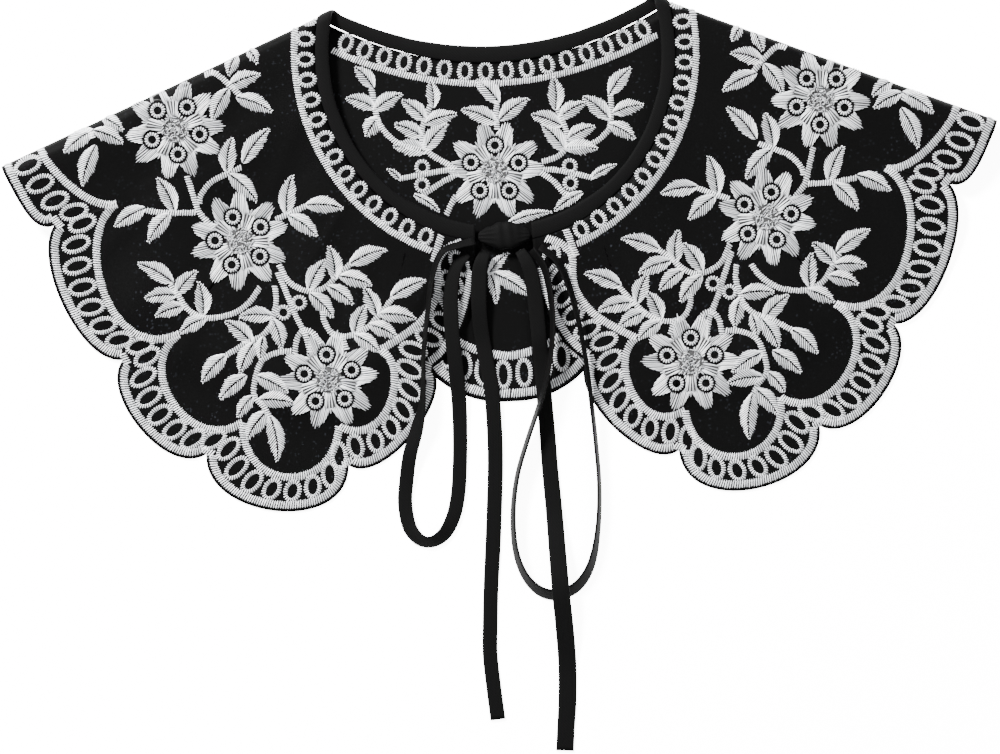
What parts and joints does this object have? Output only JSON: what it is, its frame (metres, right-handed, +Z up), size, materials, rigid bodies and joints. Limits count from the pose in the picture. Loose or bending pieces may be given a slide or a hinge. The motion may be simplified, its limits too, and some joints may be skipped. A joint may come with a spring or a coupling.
{
  "type": "embroidered organza collar with ribbon bow",
  "caption": "Cape-like scalloped lace collar laid flat, folded at both shoulders, with bound neckline, front bow and two tie ends.",
  "frame": {"origin": "on the table, at the flat underside of the back panel, on the centre line 95 mm below the level of the shoulder points of the neckline", "axes": "+X to the right of the laid collar seen from above with the bow towards the viewer, +Y towards the back of the neck, +Z up from the table"},
  "size_m": [0.4374, 0.3307, 0.0117],
  "materials": {
    "black_organza": "nearly opaque black organza with a faint crisp sheen",
    "black_binding": "matt black woven bias binding and tape",
    "silver_embroidery": "glossy silver-white satin stitch in rayon-like thread"
  },
  "bodies": {
    "root": {"collar_body": "black_organza", "neck_binding": "black_binding", "bow_knot": "black_binding", "bow_loop_left": "black_binding", "bow_loop_right": "black_binding", "tie_end_left": "black_binding", "tie_end_right": "black_binding", "flower_right_shoulder": "silver_embroidery", "flower_right_middle": "silver_embroidery", "flower_right_hem": "silver_embroidery", "flower_left_shoulder": "silver_embroidery", "flower_left_middle": "silver_embroidery", "flower_left_hem": "silver_embroidery", "flower_back": "silver_embroidery"}
  },
  "joints": []
}
